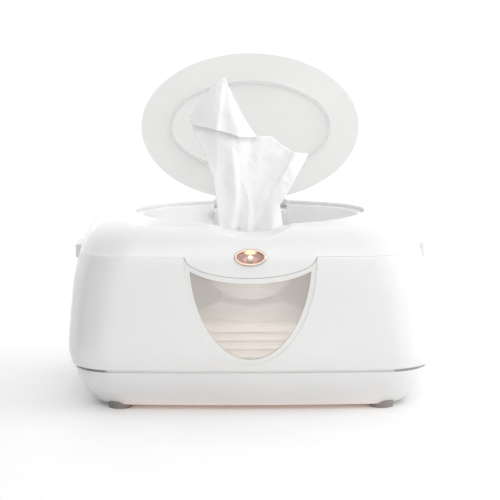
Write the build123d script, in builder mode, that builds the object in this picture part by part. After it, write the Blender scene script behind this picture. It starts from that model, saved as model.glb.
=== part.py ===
from build123d import *
import math
import os

# Baby wipe warmer. Millimetres, +Z up, front toward -Y.
# Origin: on the table, under the middle of the housing.

# ---------------------------------------------------------------- housing form
body_width = 264.0            # widest outside width, at the belly
body_depth = 190.0            # widest outside depth, at the belly
side_bow = 3.0                # how far the left and right sides bulge
front_bow = 5.0               # how far the front and back bulge
low_corner_radius = 30.0      # plan corners at the bottom of the shell
high_corner_radius = 40.0     # plan corners from the lid seam up
wall = 2.6                    # moulded wall of the shell and the lid

shell_bottom = 32.5           # lower edge of the shell
belly_height = 55.0           # height of the widest section
seam_height = 113.0           # middle of the gap between shell and lid
seam_gap = 0.35               # gap between shell and lid
lid_top = 133.0               # crown of the lid
crown_drop = 1.4              # how much lower the lid is at the door's front and back edge

base_clearance = 3.5          # underside of the base above the table
base_top = 30.0               # upper edge of the base; the groove lies above it
base_wall = 2.4
spigot_height = 4.0           # how far the base's neck stands up inside the shell
fit_gap = 0.3                 # clearance between pieces that are assembled
past = 1.0                    # cutters run this far past a face
bond = 0.2                    # raised details are rooted this deep

# Height and inset from the widest outline, up the side of the housing.
housing_levels = [
    (base_top, 3.4),
    (shell_bottom + 4.0, 0.8),
    (belly_height, 0.0),
    (belly_height + 21.0, 1.8),
    (belly_height + 37.0, 3.7),
    (seam_height - 9.0, 6.3),
    (seam_height, 9.0),
    (seam_height + 7.0, 13.0),
    (seam_height + 13.0, 18.6),
    (lid_top - 3.0, 25.5),
    (lid_top - 0.7, 34.0),
    (lid_top + 0.6, 44.0),
]
base_levels = [
    (base_clearance, 18.4),
    (base_clearance + 8.0, 12.6),
    (base_top - 11.0, 7.6),
    (base_top, 4.0),
]

# ---------------------------------------------------------------- window and tongue
window_half_width = 47.2
window_height = 76.0          # from the seam down to the lowest point of the cut-out
window_recess = 0.9           # the pane lies this far below the shell's surface
window_thickness = 2.0
window_rim_width = 3.6        # thicker band round the pane
window_rim_proud = 0.5
window_flange = 4.0           # lip behind the shell's wall
tongue_depth = 14.4           # how far the lid's tongue hangs below the seam
tongue_gap = 0.5              # between tongue, shell cut-out and window

# ---------------------------------------------------------------- flip door and recess
door_half_length = 83.0
door_half_depth = 56.0
door_thickness = 2.2
door_gap = 1.5                # between the door's edge and its rebate
door_seat_gap = 0.3           # under the closed door
rebate_ledge = 3.6            # width of the ledge that the closed door lies on
door_open_angle = 102.0
door_axis_y = 60.5
door_axis_z = 127.0
door_barrel_radius = 3.2
door_neck_half_width = 26.5
door_pin_radius = 1.5
pin_clearance = 0.05          # running fit of a pin
pocket_gap = 1.0              # beside the door's neck
pocket_depth = 4.2            # below the axis
pocket_step = 0.7             # shallow part of the pocket, under the neck
ear_length = 5.0              # how far the door pin reaches into the lid
ring_edge_distance = 21.6     # from the door's edge to its seal ring
ring_width = 2.0
ring_height = 3.2
ring_groove = 0.8             # how deep the seal ring sits in the door
tab_radius = 99.0             # arc of the thumb tab on the door
tab_reach = 8.0               # from the door's front edge to the arc
tab_step = 0.7                # how much thinner the thumb tab is

recess_floor = 108.5
recess_taper = 17.0           # how much narrower the recess is at its floor
bowl_wall = 2.2
scoop_radius = 70.0           # thumb scoop in the recess's front edge
scoop_bottom = 125.0

throat_half_length = 30.0
throat_half_depth = 13.0
throat_wall = 2.0
throat_bottom = 68.5
throat_side_rise = 14.0       # the guide's lower lip is higher at its two ends
throat_collar = 3.0
throat_collar_thickness = 1.5
throat_bevel = 0.5

# ---------------------------------------------------------------- lid inside
liner_thickness = 2.0
liner_inset = 14.2            # from the widest outline of the housing
liner_bottom = 110.0
lid_boss_radius = 3.5
lid_boss_x = 88.0
lid_boss_y = 56.0
screw_radius = 1.5
screw_head_radius = 2.8
screw_head_height = 1.8

# ---------------------------------------------------------------- night light
lamp_half_width = 11.3
lamp_half_height = 6.2
lamp_z = 112.7
lamp_y = -86.1                # where the lamp's axis meets the lid's front
lamp_tilt = 24.0              # the lamp faces this far above the horizontal
bezel_width = 1.4
bezel_proud = 0.8
bezel_depth = 4.5
bezel_edge = 0.45
reflector_depth = 6.5
reflector_wall = 0.8
lens_rise = 0.4
led_radius = 2.4

# ---------------------------------------------------------------- tub and heating
tub_half_width = 107.0        # outside, at the floor
tub_half_depth = 66.0
tub_draft = 5.0               # how much wider the tub is at its rim
tub_corner_radius = 35.0
tub_wall = 2.0
tub_floor = 22.0              # underside of the tub's floor
tub_rim = 107.0               # top of the tub's flange
tub_flange_width = 4.5
tub_flange_thickness = 2.0
ledge_thickness = 2.0
heater_thickness = 1.5
film_thickness = 0.4
insulation_thickness = 4.5
heater_half_width = 92.0
heater_half_depth = 50.0
pad_thickness = 3.0
pad_inset = 8.0
film_inset = 4.0              # film and insulation are smaller than the plate

# ---------------------------------------------------------------- wipes
stack_width = 188.0
stack_depth = 110.0
stack_top = 56.0
stack_layers = 6
tail_top = 66.0               # where the next wipe rises to, under the throat guide
wipe_gap = 0.3                # between the next wipe and the pulled one
wipe_lobes = 4                # folds across the pulled wipe

# ---------------------------------------------------------------- base details
foot_x = 94.2
foot_y = 64.0
foot_radius = 8.5
foot_seat = 2.0               # how deep a foot sits in the base
screw_x = 108.0
screw_y = 52.0
tower_radius = 4.5
vent_count = 7
vent_rows = (-28.0, 28.0)
vent_pitch = 9.0
vent_length = 17.0
vent_width = 2.6
jack_x = 70.0
jack_z = 13.0
jack_width = 9.0
jack_height = 11.0
jack_length = 14.0
jack_hole_radius = 5.2
jack_bore_radius = 2.8
jack_bore_depth = 9.8
jack_pin_radius = 1.0
board_x = 20.0
board_y = 58.0
board_width = 76.0
board_depth = 24.0
board_thickness = 1.6
board_bottom = 10.0

# ---------------------------------------------------------------- hinge and latches
hinge_y = 86.5
hinge_radius = 3.6
hinge_gap = 0.5               # round a knuckle in the other piece's wall
hinge_x = 60.0
knuckle_length = 8.0
knuckle_gap = 0.3
hinge_pin_radius = 1.2

latch_half_length = 13.0
latch_bottom = 100.0
latch_top = 110.0
latch_face_inset = 3.4        # the button's face, inside the widest outline
latch_travel = 2.0
latch_flange = 2.2
latch_arm = 14.0
latch_arm_thickness = 1.2
latch_finger_thickness = 1.6
latch_bead = 0.8
latch_edge = 1.6              # rounding of the button

contact_x = -20.0
contact_pitch = 8.0
contact_y = 78.2
contact_pad_radius = 2.2
contact_pad_thickness = 1.0
contact_pin_radius = 1.5
wire_radius = 0.9


# ================================================================ shared forms
def outline(inset, height, radius):
    """Plan of the housing at one height: four bowed sides and rounded corners."""
    half_x = body_width / 2 - inset
    half_y = body_depth / 2 - inset
    corner_x = half_x - side_bow
    corner_y = half_y - front_bow
    with BuildSketch(Plane.XY.offset(height)) as plan:
        with BuildLine():
            ThreePointArc((-corner_x, -corner_y), (0, -half_y), (corner_x, -corner_y))
            ThreePointArc((corner_x, -corner_y), (half_x, 0), (corner_x, corner_y))
            ThreePointArc((corner_x, corner_y), (0, half_y), (-corner_x, corner_y))
            ThreePointArc((-corner_x, corner_y), (-half_x, 0), (-corner_x, -corner_y))
        make_face()
        fillet(plan.vertices(), radius)
    return plan.sketch


def corner_radius_at(height):
    """Plan corners grow rounder from the shell's bottom up to the seam."""
    rise = (min(height, seam_height) - base_top) / (seam_height - base_top)
    return low_corner_radius + (high_corner_radius - low_corner_radius) * max(rise, 0)


def moved_in(levels, depth):
    """The same side profile, moved inward by a wall's thickness along its normal."""
    moved = []
    for number, (height, inset) in enumerate(levels):
        below = levels[max(number - 1, 0)]
        above = levels[min(number + 1, len(levels) - 1)]
        lean = math.atan2(above[1] - below[1], above[0] - below[0])
        moved.append((height - depth * math.sin(lean), inset + depth * math.cos(lean)))
    return moved


def form(levels, depth=0.0):
    """Solid of the housing or the base, or of its inside at a depth below the surface."""
    with BuildPart() as solid:
        for (height, _), (level, inset) in zip(levels, moved_in(levels, depth)):
            add(outline(inset, level, corner_radius_at(height) - depth))
        loft()
    return solid.part


def crown(drop):
    """Everything below the crowned top of the lid, lowered by a drop."""
    radius = door_half_depth ** 2 / (2 * crown_drop)
    reach = body_depth / 2
    edge = lid_top - drop - reach ** 2 / (2 * radius)
    with BuildPart() as block:
        with BuildSketch(Plane.YZ):
            with BuildLine():
                ThreePointArc((-reach, edge), (0, lid_top - drop), (reach, edge))
                Polyline((reach, edge), (reach, 0), (-reach, 0), (-reach, edge))
            make_face()
        extrude(amount=body_width / 2, both=True)
    return block.part


def slab(bottom, top, width=body_width * 2, depth=body_depth * 2):
    """Plain block between two heights, to trim other solids."""
    with BuildPart() as block:
        with BuildSketch(Plane.XY.offset(bottom)):
            Rectangle(width, depth)
        extrude(amount=top - bottom)
    return block.part


def front_prism(half_width, height, top=seam_height):
    """Half oval seen from the front, below the seam, run through the front wall."""
    with BuildPart() as prism:
        with BuildSketch(Plane.XZ.offset(body_depth / 4)):
            with Locations((0, seam_height)):
                Ellipse(half_width, height)
            with Locations((0, seam_height)):
                Rectangle(half_width * 2, height, align=(Align.CENTER, Align.MIN), mode=Mode.SUBTRACT)
            if top > seam_height:
                with Locations((0, seam_height)):
                    Rectangle(half_width * 2, top - seam_height, align=(Align.CENTER, Align.MIN))
        extrude(amount=body_depth / 2)
    return prism.part


def oval_prism(half_length, half_depth, bottom, top):
    with BuildPart() as prism:
        with BuildSketch(Plane.XY.offset(bottom)):
            Ellipse(half_length, half_depth)
        extrude(amount=top - bottom)
    return prism.part


def rod(start, end, radius):
    """Round bar between two points."""
    line = Vector(*end) - Vector(*start)
    with BuildPart() as bar:
        with BuildSketch(Plane(origin=start, z_dir=line)):
            Circle(radius)
        extrude(amount=line.length)
    return bar.part


def box(x, y, z):
    """Block from three (low, high) pairs."""
    with BuildPart() as block:
        with BuildSketch(Plane.XY.offset(z[0])):
            with Locations(((x[0] + x[1]) / 2, (y[0] + y[1]) / 2)):
                Rectangle(x[1] - x[0], y[1] - y[0])
        extrude(amount=z[1] - z[0])
    return block.part


def save(piece, name):
    piece.label = name
    export_step(piece, f"parts/{name}.step")


os.makedirs("parts", exist_ok=True)
housing = form(housing_levels)
housing_inside = form(housing_levels, wall)
wall_middle = form(housing_levels, wall / 2)          # inner fittings reach this far into the wall
shell_top = seam_height - seam_gap / 2
lid_bottom = seam_height + seam_gap / 2


def tub_plan(grow, height):
    """Plan of the tub's rim at a height, made larger by an amount."""
    with BuildSketch(Plane.XY.offset(height)) as plan:
        RectangleRounded(
            2 * (tub_half_width + tub_draft + grow),
            2 * (tub_half_depth + tub_draft + grow),
            tub_corner_radius + tub_draft + grow,
        )
    return plan.sketch


def tub_ring(grow_in, grow_out, bottom, top):
    """Flat ring that follows the tub's rim."""
    with BuildPart() as ring:
        add(tub_plan(grow_out, bottom))
        extrude(amount=top - bottom)
        add(tub_plan(grow_in, bottom))
        extrude(amount=top - bottom, mode=Mode.SUBTRACT)
    return ring.part


def post(x, y, bottom, top, radius):
    """Upright eight-sided bar."""
    with BuildPart() as bar:
        with BuildSketch(Plane((x, y, bottom))):
            RegularPolygon(radius, 8)
        extrude(amount=top - bottom)
    return bar.part


def screw(x, y, head_z, tip_z):
    """Screw standing upright, its head at the lower end."""
    with BuildPart() as one:
        add(post(x, y, head_z, head_z + screw_head_height, screw_head_radius))
        add(post(x, y, head_z, tip_z, screw_radius))
    return one.part


def four(x, y):
    """The four places at plus and minus x and y."""
    return [(x, y), (-x, y), (x, -y), (-x, -y)]


# ================================================================ base tray
base_floor = base_clearance + base_wall
neck_inset = 6.2
heater_bottom = tub_floor - heater_thickness
film_bottom = heater_bottom - film_thickness
insulation_bottom = film_bottom - insulation_thickness
board_top = board_bottom + board_thickness
rib_thickness = 2.0
rib_pitch = 28.0
rib_rows = [rib_pitch * (row - 1.5) for row in range(4)]
rib_half_length = 84.0
notch_half_width = 2.0
jack_face = 74.0
jack_block = 8.0                           # thickness of the block round the plug well
thermostat_x = 30.0
thermostat_radius = 8.0
thermostat_height = 6.5
tab_thickness = 0.8                        # flat terminals of the thermostat
tab_half_width = 3.0
tab_length = 3.0
thermostat_flange = 1.4
thermostat_wire_z = film_bottom - thermostat_height + wire_radius
board_hole_margin = 4.0
board_hole_x = board_width / 2 - board_hole_margin
board_hole_y = board_depth / 2 - board_hole_margin
board_holes = [
    (board_x - board_hole_x, board_y + board_hole_y),
    (board_x + board_hole_x, board_y - board_hole_y),
]
screw_sink = 4.0                           # how deep the screw heads sit in the base
screw_seat = base_clearance + screw_sink + screw_head_height
post_radius = 3.0                          # half width of the board's posts
pad_margin = 2.0                           # base's pads are wider than the feet

neck_inside = outline(neck_inset + base_wall, base_top, low_corner_radius - base_wall)

with BuildPart() as tray_inside:
    add(form(base_levels, base_wall))
    add(slab(base_floor, base_top + past), mode=Mode.INTERSECT)
    add(outline(neck_inset + base_wall, base_top - base_wall, low_corner_radius - base_wall))
    extrude(amount=base_wall * 2)

with BuildPart() as tray_top:
    # Closed upper edge and neck: keeps the groove shut behind the shell.
    add(outline(neck_inset, base_top - base_wall, low_corner_radius))
    extrude(amount=base_wall + spigot_height)
    add(neck_inside)
    extrude(amount=spigot_height, mode=Mode.SUBTRACT)
    add(outline(neck_inset + base_wall, base_top - base_wall, low_corner_radius - base_wall))
    extrude(amount=base_wall, mode=Mode.SUBTRACT)

with BuildPart() as tray_limit:
    # Fittings stay inside the tray's wall, and only the screw towers rise past its edge.
    add(form(base_levels, base_wall / 2))
    add(slab(base_top - past, shell_bottom, 2 * (screw_x + tower_radius + past),
             2 * (screw_y + tower_radius + past)))

with BuildPart() as tray_fittings:
    for row in rib_rows:
        add(box((-rib_half_length, rib_half_length), (row - rib_thickness / 2, row + rib_thickness / 2),
                (base_floor - past, insulation_bottom)))
    for x, y in four(screw_x, screw_y):
        add(post(x, y, base_clearance + past, shell_bottom, tower_radius))
    for x, y in four(foot_x, foot_y):
        reach = foot_radius + pad_margin
        add(box((x - reach, x + reach), (y - reach, y + reach),
                (base_clearance + past, base_floor + foot_seat)))
    for x, y in board_holes:
        add(box((x - post_radius, x + post_radius), (y - post_radius, y + post_radius),
                (base_floor - past, board_bottom)))
    add(box((jack_x - jack_width, jack_x + jack_width), (jack_face, jack_face + jack_block),
            (base_floor - past, jack_z + jack_height / 2 + rib_thickness)))
    add(box((jack_x - jack_width / 2, jack_x + jack_width / 2), (jack_face - jack_length, jack_face + past),
            (base_floor - past, jack_z - jack_height / 2)))

    # Notches for the wires to the thermostat.
    add(box((thermostat_x - notch_half_width, thermostat_x + notch_half_width),
            (rib_rows[2] - rib_thickness, rib_rows[3] + rib_thickness),
            (thermostat_wire_z - wire_radius - 2 * fit_gap, insulation_bottom)), mode=Mode.SUBTRACT)
    add(tray_limit.part, mode=Mode.INTERSECT)

with BuildPart() as base_tray:
    add(form(base_levels))
    add(tray_inside.part, mode=Mode.SUBTRACT)
    add(tray_top.part)
    add(tray_fittings.part)
    with Locations(*[(x, y, 0) for x, y in four(foot_x, foot_y)]):
        Cylinder(foot_radius + fit_gap / 2, base_clearance + foot_seat,
                 align=(Align.CENTER, Align.CENTER, Align.MIN), mode=Mode.SUBTRACT)
    for x, y in four(screw_x, screw_y):
        add(rod((x, y, 0), (x, y, shell_bottom), screw_radius + fit_gap / 2), mode=Mode.SUBTRACT)
        add(rod((x, y, 0), (x, y, screw_seat), screw_head_radius + fit_gap), mode=Mode.SUBTRACT)
    for x, y in board_holes:
        add(rod((x, y, base_floor), (x, y, board_bottom), screw_radius / 2), mode=Mode.SUBTRACT)
    with BuildSketch(Plane.XY.offset(base_clearance)):
        for row in vent_rows:
            with Locations((0, row)):
                with GridLocations(vent_pitch, 0, vent_count, 1):
                    Rectangle(vent_width, vent_length)
    extrude(amount=base_wall, mode=Mode.SUBTRACT)
    add(rod((jack_x, jack_face, jack_z), (jack_x, body_depth / 2, jack_z), jack_hole_radius),
        mode=Mode.SUBTRACT)
save(base_tray.part, "base_tray")

# ================================================================ outer shell
ledge_top = tub_rim - tub_flange_thickness
ledge_bottom = ledge_top - ledge_thickness
boss_top = belly_height + 3.0
boss_roof = 2.0                            # closed end of a screw boss
latch_gap = fit_gap
latch_inset = 12.1
latch_inner = body_width / 2 - latch_inset # inner face of the latch button's plate
latch_room = 0.8                           # free space round the latch's plate and arms
latch_plate = latch_inner + latch_flange
latch_wing = 5.0
latch_half_plate = latch_half_length + latch_wing
latch_plate_top = latch_top - 4.0
arm_seat_half = 1.5                        # rib that holds the end of a spring arm
arm_overlap = 2.0
ledge_break = 5.0                          # the ledge stops this far beside the window
knuckle_web = 9.0                          # height of the web that carries a hinge knuckle
catch_half_width = 8.0                     # slot in the liner that the latch's finger passes
catch_depth = 4.0
window_opening = front_prism(window_half_width, window_height, seam_height + wall)

with BuildPart() as shell_fittings:
    add(tub_ring(fit_gap, body_width, ledge_bottom, ledge_top))
    add(box((-window_half_width - ledge_break, window_half_width + ledge_break),
            (-body_depth, -tub_half_depth - tub_draft),
            (ledge_bottom, ledge_top)), mode=Mode.SUBTRACT)
    for side in (-1, 1):
        add(box(sorted((side * (latch_inner - latch_travel - latch_room), side * body_width)),
                (-latch_half_plate - latch_arm - past, latch_half_plate + latch_arm + past),
                (ledge_bottom, ledge_top)), mode=Mode.SUBTRACT)
        for end in (-1, 1):
            seat_y = end * (latch_half_plate + latch_arm - arm_overlap)
            add(box(sorted((side * (latch_inner + latch_arm_thickness + latch_room), side * body_width / 2)),
                    (seat_y - arm_seat_half, seat_y + arm_seat_half), (latch_bottom, latch_plate_top - past)))
    for x, y in four(screw_x, screw_y):
        add(post(x, y, shell_bottom, boss_top, tower_radius))
        add(box(sorted((x, x * 2)), (y - rib_thickness / 2, y + rib_thickness / 2),
                (shell_bottom + spigot_height + past, boss_top)))
    for step in (0, 1):
        x = contact_x + step * contact_pitch
        add(rod((x, contact_y, 0), (x, contact_y, ledge_top), contact_pad_radius / 2 + fit_gap / 2),
            mode=Mode.SUBTRACT)
    add(wall_middle, mode=Mode.INTERSECT)


def knuckle(x_from, x_to, radius=hinge_radius):
    return rod((x_from, hinge_y, seam_height), (x_to, hinge_y, seam_height), radius)


knuckle_half = knuckle_length / 2
hinge_half = knuckle_half + knuckle_gap + knuckle_length

with BuildPart() as outer_shell:
    add(housing)
    add(housing_inside, mode=Mode.SUBTRACT)
    add(slab(shell_bottom, shell_top), mode=Mode.INTERSECT)
    add(shell_fittings.part)
    add(window_opening, mode=Mode.SUBTRACT)
    for side in (-1, 1):
        add(box(sorted((side * (latch_inner - latch_travel - latch_room), side * body_width)),
                (-latch_half_length - latch_gap, latch_half_length + latch_gap),
                (latch_bottom - latch_gap, latch_top + latch_gap)), mode=Mode.SUBTRACT)
        centre = side * hinge_x
        add(knuckle(centre - knuckle_half - knuckle_gap, centre + knuckle_half + knuckle_gap,
                    hinge_radius + hinge_gap), mode=Mode.SUBTRACT)
        for end in (-1, 1):
            start = centre + end * (knuckle_half + knuckle_gap)
            add(knuckle(start, start + end * knuckle_length))
            with BuildSketch(Plane.YZ.offset(min(start, start + end * knuckle_length))):
                with BuildLine():
                    Polyline((hinge_y + hinge_radius, seam_height), (hinge_y - hinge_radius, seam_height),
                             (hinge_y - hinge_radius, seam_height - knuckle_web),
                             (hinge_y - 1, seam_height - knuckle_web),
                             close=True)
                make_face()
            extrude(amount=knuckle_length)
        add(knuckle(centre - hinge_half, centre + hinge_half, hinge_pin_radius + pin_clearance),
            mode=Mode.SUBTRACT)
    for x, y in four(screw_x, screw_y):
        add(rod((x, y, shell_bottom), (x, y, boss_top - boss_roof), screw_radius), mode=Mode.SUBTRACT)
save(outer_shell.part, "outer_shell")

# ================================================================ front window
pane_half_width = window_half_width - fit_gap / 2
pane_height = window_height - fit_gap / 2
tongue_half_width = window_half_width - tongue_gap


def window_area(trim, grow=0.0):
    """Area below the tongue, trimmed inward all round, as a prism through the front wall."""
    with BuildPart() as area:
        add(front_prism(pane_half_width - trim + grow, pane_height - trim + grow))
        add(front_prism(window_half_width + trim, tongue_depth + tongue_gap + trim, seam_height + wall),
            mode=Mode.SUBTRACT)
    return area.part


def wall_layer(shallow, deep, top):
    """Layer of the housing's wall between two depths, from the base's neck up to a height."""
    with BuildPart() as layer:
        add(form(housing_levels, shallow))
        add(form(housing_levels, deep), mode=Mode.SUBTRACT)
        add(slab(base_top + spigot_height + fit_gap, top), mode=Mode.INTERSECT)
    return layer.part


pane_back = window_recess + window_thickness
flange_front = wall + fit_gap / 2

with BuildPart() as window_rim:
    add(wall_layer(window_recess - window_rim_proud, pane_back, shell_top))
    add(window_area(0.0), mode=Mode.INTERSECT)
    add(window_area(window_rim_width), mode=Mode.SUBTRACT)

with BuildPart() as window_frame:
    add(wall_layer(flange_front, flange_front + window_thickness, ledge_bottom - fit_gap))
    add(window_area(0.0, window_flange), mode=Mode.INTERSECT)
    add(window_area(window_rim_width), mode=Mode.SUBTRACT)

with BuildPart() as front_window:
    add(wall_layer(window_recess, pane_back, shell_top))
    add(window_area(0.0), mode=Mode.INTERSECT)
    add(window_rim.part)
    add(window_frame.part)
save(front_window.part, "front_window")

# ================================================================ inner tub, pad, heating
with BuildPart() as inner_tub:
    for inset, floor in ((0.0, tub_floor), (tub_wall, tub_floor + tub_wall)):
        with BuildSketch(Plane.XY.offset(floor)):
            RectangleRounded(2 * (tub_half_width - inset), 2 * (tub_half_depth - inset),
                             tub_corner_radius - inset)
        add(tub_plan(-inset, tub_rim))
        loft(mode=Mode.SUBTRACT if inset else Mode.ADD)
        if not inset:
            chamfer(inner_tub.edges().group_by(Axis.Z)[0], tub_wall)
            add(tub_ring(-tub_wall / 2, tub_flange_width, ledge_top, tub_rim))
save(inner_tub.part, "inner_tub")

pad_bottom = tub_floor + tub_wall
with BuildPart() as moisture_pad:
    with BuildSketch(Plane.XY.offset(pad_bottom)):
        RectangleRounded(2 * (tub_half_width - pad_inset), 2 * (tub_half_depth - pad_inset),
                         tub_corner_radius - pad_inset)
    extrude(amount=pad_thickness)
save(moisture_pad.part, "moisture_pad")


def heater_layer(bottom, thickness, shrink=0.0):
    with BuildPart() as layer:
        with BuildSketch(Plane.XY.offset(bottom)):
            Rectangle(2 * (heater_half_width - shrink), 2 * (heater_half_depth - shrink))
        extrude(amount=thickness)
    return layer.part


fuse_x = -30.0
fuse_radius = 2.0
fuse_length = 14.0
fuse_z = film_bottom - fuse_radius
film_tab = (fuse_x - 8.0, fuse_x)

with BuildPart() as heater_plate:
    add(heater_layer(heater_bottom, heater_thickness))
save(heater_plate.part, "heater_plate")

with BuildPart() as heater_film:
    add(heater_layer(film_bottom, film_thickness, film_inset))
    add(box(film_tab, (0, heater_half_depth + film_inset), (film_bottom, heater_bottom)))
save(heater_film.part, "heater_film")

with BuildPart() as insulation_pad:
    add(heater_layer(insulation_bottom, insulation_thickness, film_inset))
    add(rod((thermostat_x, 0, insulation_bottom), (thermostat_x, 0, film_bottom), thermostat_radius + past),
        mode=Mode.SUBTRACT)
    add(box((fuse_x - fuse_length - 2 * past, fuse_x + fuse_length + 2 * past),
            (-fuse_radius - past, fuse_radius + past), (insulation_bottom, film_bottom)), mode=Mode.SUBTRACT)
save(insulation_pad.part, "insulation_pad")

with BuildPart() as thermostat:
    add(rod((thermostat_x, 0, film_bottom - thermostat_flange), (thermostat_x, 0, film_bottom),
            thermostat_radius))
    add(rod((thermostat_x, 0, film_bottom - thermostat_height), (thermostat_x, 0, film_bottom),
            thermostat_radius - thermostat_flange))
    for end in (-1, 1):
        add(box((thermostat_x - tab_half_width, thermostat_x + tab_half_width),
                sorted((end * (thermostat_radius - tab_length), end * (thermostat_radius + tab_length))),
                (film_bottom - thermostat_height, film_bottom - thermostat_height + tab_thickness)))
save(thermostat.part, "thermostat")

with BuildPart() as thermal_fuse:
    add(rod((fuse_x - fuse_length / 2, 0, fuse_z), (fuse_x + fuse_length / 2, 0, fuse_z), fuse_radius))
save(thermal_fuse.part, "thermal_fuse")

# ================================================================ board, jack, fasteners, feet
board_screw_head = 1.2
terminal_height = 3.4
terminal_length = 8.0
terminal_reach = 6.0
right_terminal = (board_x + board_width / 2 - terminal_length, board_x + board_width / 2)
left_terminal = (board_x - board_width / 2, board_x - board_width / 2 + terminal_length)
wire_pitch = 3.0
supply_wire_y = board_y - 1.5 * wire_pitch
contact_wire_y = board_y + wire_pitch / 2
capacitor = (8.0, 3.0, 4.0)                # x and y from the board's middle, and radius
# Chip and relay: x and y span from the board's middle, and height.
board_parts = [((-14.0, -4.0), (-5.0, 5.0), 1.5), ((16.0, 22.0), (-3.0, 3.0), 3.0)]

with BuildPart() as control_board:
    add(box((board_x - board_width / 2, board_x + board_width / 2),
            (board_y - board_depth / 2, board_y + board_depth / 2), (board_bottom, board_top)))
    for span in (left_terminal, right_terminal):
        add(box(span, (board_y - terminal_reach, board_y + terminal_reach),
                (board_top - bond, board_top + terminal_height)))
    for across, along, height in board_parts:
        add(box((board_x + across[0], board_x + across[1]), (board_y + along[0], board_y + along[1]),
                (board_top - bond, board_top + height)))
    add(post(board_x + capacitor[0], board_y + capacitor[1], board_top - bond, board_top + terminal_height,
             capacitor[2]))
    for x, y in board_holes:
        add(rod((x, y, board_bottom), (x, y, board_top), screw_radius / 2 + fit_gap / 2), mode=Mode.SUBTRACT)
save(control_board.part, "control_board")

with BuildPart() as board_screws:
    for x, y in board_holes:
        add(post(x, y, board_top, board_top + board_screw_head, screw_radius))
        add(post(x, y, base_floor + past, board_top + bond, screw_radius / 2))
save(board_screws.part, "board_screws")

with BuildPart() as power_jack:
    add(box((jack_x - jack_width / 2, jack_x + jack_width / 2), (jack_face - jack_length, jack_face),
            (jack_z - jack_height / 2, jack_z + jack_height / 2)))
    add(rod((jack_x, jack_face - jack_bore_depth, jack_z), (jack_x, jack_face, jack_z), jack_bore_radius),
        mode=Mode.SUBTRACT)
    add(rod((jack_x, jack_face - jack_bore_depth - past, jack_z), (jack_x, jack_face - past, jack_z),
            jack_pin_radius))
save(power_jack.part, "power_jack")

with BuildPart() as rubber_feet:
    for x, y in four(foot_x, foot_y):
        add(rod((x, y, 0), (x, y, base_clearance + foot_seat), foot_radius))
save(rubber_feet.part, "rubber_feet")

with BuildPart() as base_screws:
    for x, y in four(screw_x, screw_y):
        add(screw(x, y, screw_seat - screw_head_height, boss_top - 4 * boss_roof))
save(base_screws.part, "base_screws")

# ================================================================ wiring in the base
jack_back = jack_face - jack_length
board_wire_z = board_top + terminal_height / 2
fuse_end = fuse_length / 2
film_wire_x = (film_tab[0] + film_tab[1]) / 2
contact_turns = (left_terminal[0] - 26, left_terminal[0] - 20)
contact_slack = 16.0                       # bends of the two wires to the contact pads
contact_stagger = 5.0
thermostat_drop_y = board_y - 9.0
wire_routes = [
    [(jack_x, jack_back, board_wire_z), (jack_x, supply_wire_y, board_wire_z),
     (right_terminal[1], supply_wire_y, board_wire_z)],
    [(left_terminal[0], supply_wire_y, board_wire_z), (film_wire_x, supply_wire_y, board_wire_z),
     (film_wire_x, supply_wire_y, film_bottom)],
    [(thermostat_x, thermostat_radius + tab_length, thermostat_wire_z),
     (thermostat_x, thermostat_drop_y, thermostat_wire_z), (thermostat_x, thermostat_drop_y, board_top)],
    [(thermostat_x - tab_half_width, -thermostat_radius, thermostat_wire_z), (fuse_x + fuse_length,
     -thermostat_radius, thermostat_wire_z), (fuse_x + fuse_length, 0, thermostat_wire_z),
     (fuse_x + fuse_length, 0, fuse_z),
     (fuse_x + fuse_end, 0, fuse_z)],
    [(fuse_x - fuse_end, 0, fuse_z), (fuse_x - fuse_length, 0, fuse_z),
     (fuse_x - fuse_length, 0, film_bottom)],
]
for number, turn in enumerate(contact_turns):
    pad_x = contact_x + number * contact_pitch
    start_y = contact_wire_y + wire_pitch * number
    level = ledge_bottom - contact_slack - contact_stagger * number
    wire_routes.append([
        (left_terminal[0], start_y, board_wire_z), (turn, start_y, board_wire_z),
        (turn, contact_y, board_wire_z + contact_slack), (turn, contact_y, level),
        (pad_x, contact_y, level + contact_slack / 2), (pad_x, contact_y, ledge_bottom),
    ])


def wire(route):
    """Insulated wire along a route of points, six-sided and mitred where it turns."""
    with BuildPart() as one:
        with BuildLine() as path:
            Polyline(*route)
        with BuildSketch(Plane(origin=path.line @ 0, z_dir=path.line % 0)):
            RegularPolygon(wire_radius, 6)
        sweep(transition=Transition.RIGHT)
    return one.part


with BuildPart() as inner_wiring:
    for route in wire_routes:
        add(wire(route))
save(inner_wiring.part, "inner_wiring")

with BuildPart() as contact_pads:
    for step in (0, 1):
        x = contact_x + step * contact_pitch
        add(post(x, contact_y, ledge_top, ledge_top + contact_pad_thickness, contact_pad_radius))
        add(post(x, contact_y, ledge_bottom, ledge_top + bond, contact_pad_radius / 2))
save(contact_pads.part, "contact_pads")

with BuildPart() as lid_hinge_pins:
    for side in (-1, 1):
        add(knuckle(side * hinge_x - hinge_half, side * hinge_x + hinge_half, hinge_pin_radius))
save(lid_hinge_pins.part, "lid_hinge_pins")

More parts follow.
